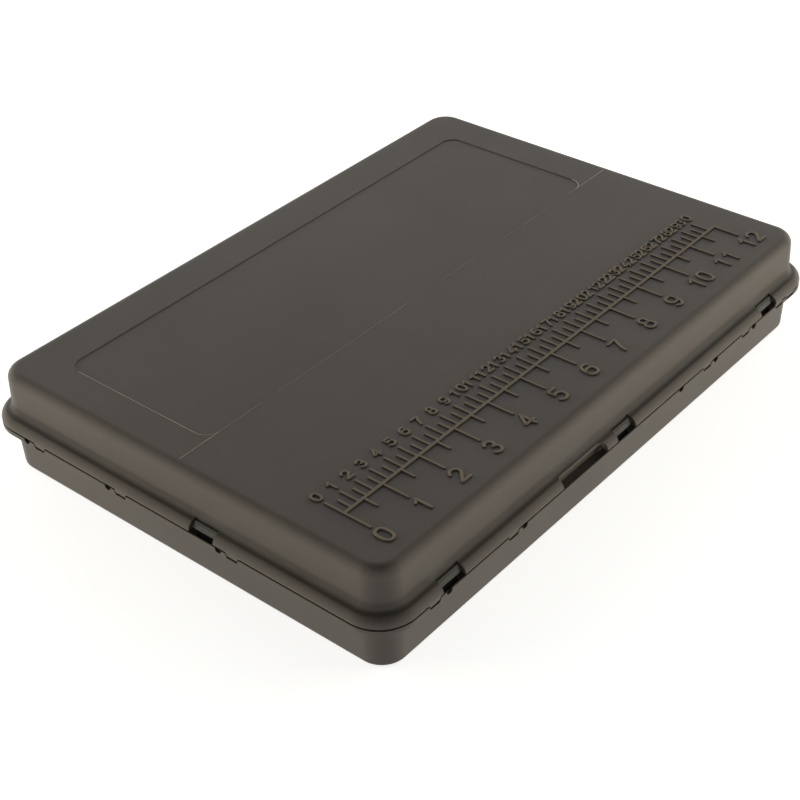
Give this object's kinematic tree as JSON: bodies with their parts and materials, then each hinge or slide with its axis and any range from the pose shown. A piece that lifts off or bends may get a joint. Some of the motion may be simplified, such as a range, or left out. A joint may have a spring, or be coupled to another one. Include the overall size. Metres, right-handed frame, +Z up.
{
  "type": "tackle box",
  "caption": "Shallow moulded tackle box with a hinged ruler lid, sprung edge catches and removable dividers.",
  "frame": {"origin": "centre of the tray's flat underside", "axes": "+X along the long side, towards the ruler's 12 inch end; +Y towards the hinge; +Z up"},
  "size_m": [0.365, 0.2687, 0.0576],
  "materials": {
    "shell": "fine moulded grain, semi-matt",
    "catch": "smooth, slightly glossy",
    "divider": "smooth, semi-matt",
    "pin": "plain drawn wire"
  },
  "bodies": {
    "tray": {"tray": "shell", "hinge_pin_left": "pin", "hinge_pin_right": "pin"},
    "lid": {"lid": "shell"},
    "catch_front_left": {"catch_front_left": "catch"},
    "catch_front_middle": {"catch_front_middle": "catch"},
    "catch_front_right": {"catch_front_right": "catch"},
    "catch_side_left": {"catch_side_left": "catch"},
    "catch_side_right": {"catch_side_right": "catch"},
    "divider_front_1": {"divider_front_1": "divider"},
    "divider_front_2": {"divider_front_2": "divider"},
    "divider_front_3": {"divider_front_3": "divider"},
    "divider_front_4": {"divider_front_4": "divider"},
    "divider_middle_1": {"divider_middle_1": "divider"},
    "divider_middle_2": {"divider_middle_2": "divider"},
    "divider_middle_3": {"divider_middle_3": "divider"},
    "divider_middle_4": {"divider_middle_4": "divider"},
    "divider_back_1": {"divider_back_1": "divider"},
    "divider_back_2": {"divider_back_2": "divider"},
    "divider_back_3": {"divider_back_3": "divider"},
    "divider_back_4": {"divider_back_4": "divider"}
  },
  "joints": [
    {"name": "lid_hinge", "type": "hinge", "parent": "tray", "child": "lid", "pos_m": [0, 0.1346, 0.02885], "axis": [-1, 0, 0], "range_deg": [0, 180]},
    {"name": "catch_front_left_pivot", "type": "hinge", "parent": "tray", "child": "catch_front_left", "pos_m": [-0.1364, -0.1272, 0.0243], "axis": [1, 0, 0], "range_deg": [0, 12], "stiffness_Nm_per_rad": 0.02},
    {"name": "catch_front_middle_pivot", "type": "hinge", "parent": "tray", "child": "catch_front_middle", "pos_m": [-0.0022, -0.1272, 0.0243], "axis": [1, 0, 0], "range_deg": [0, 12], "stiffness_Nm_per_rad": 0.02},
    {"name": "catch_front_right_pivot", "type": "hinge", "parent": "tray", "child": "catch_front_right", "pos_m": [0.1342, -0.1272, 0.0243], "axis": [1, 0, 0], "range_deg": [0, 12], "stiffness_Nm_per_rad": 0.02},
    {"name": "catch_side_left_pivot", "type": "hinge", "parent": "tray", "child": "catch_side_left", "pos_m": [-0.1787, -0.022, 0.0243], "axis": [0, -1, 0], "range_deg": [0, 12], "stiffness_Nm_per_rad": 0.02},
    {"name": "catch_side_right_pivot", "type": "hinge", "parent": "tray", "child": "catch_side_right", "pos_m": [0.1787, -0.022, 0.0243], "axis": [0, 1, 0], "range_deg": [0, 12], "stiffness_Nm_per_rad": 0.02},
    {"name": "divider_front_1_lift", "type": "slide", "parent": "tray", "child": "divider_front_1", "axis": [0, 0, 1], "range_m": [0, 0.024]},
    {"name": "divider_front_2_lift", "type": "slide", "parent": "tray", "child": "divider_front_2", "axis": [0, 0, 1], "range_m": [0, 0.024]},
    {"name": "divider_front_3_lift", "type": "slide", "parent": "tray", "child": "divider_front_3", "axis": [0, 0, 1], "range_m": [0, 0.024]},
    {"name": "divider_front_4_lift", "type": "slide", "parent": "tray", "child": "divider_front_4", "axis": [0, 0, 1], "range_m": [0, 0.024]},
    {"name": "divider_middle_1_lift", "type": "slide", "parent": "tray", "child": "divider_middle_1", "axis": [0, 0, 1], "range_m": [0, 0.024]},
    {"name": "divider_middle_2_lift", "type": "slide", "parent": "tray", "child": "divider_middle_2", "axis": [0, 0, 1], "range_m": [0, 0.024]},
    {"name": "divider_middle_3_lift", "type": "slide", "parent": "tray", "child": "divider_middle_3", "axis": [0, 0, 1], "range_m": [0, 0.024]},
    {"name": "divider_middle_4_lift", "type": "slide", "parent": "tray", "child": "divider_middle_4", "axis": [0, 0, 1], "range_m": [0, 0.024]},
    {"name": "divider_back_1_lift", "type": "slide", "parent": "tray", "child": "divider_back_1", "axis": [0, 0, 1], "range_m": [0, 0.024]},
    {"name": "divider_back_2_lift", "type": "slide", "parent": "tray", "child": "divider_back_2", "axis": [0, 0, 1], "range_m": [0, 0.024]},
    {"name": "divider_back_3_lift", "type": "slide", "parent": "tray", "child": "divider_back_3", "axis": [0, 0, 1], "range_m": [0, 0.024]},
    {"name": "divider_back_4_lift", "type": "slide", "parent": "tray", "child": "divider_back_4", "axis": [0, 0, 1], "range_m": [0, 0.024]}
  ]
}
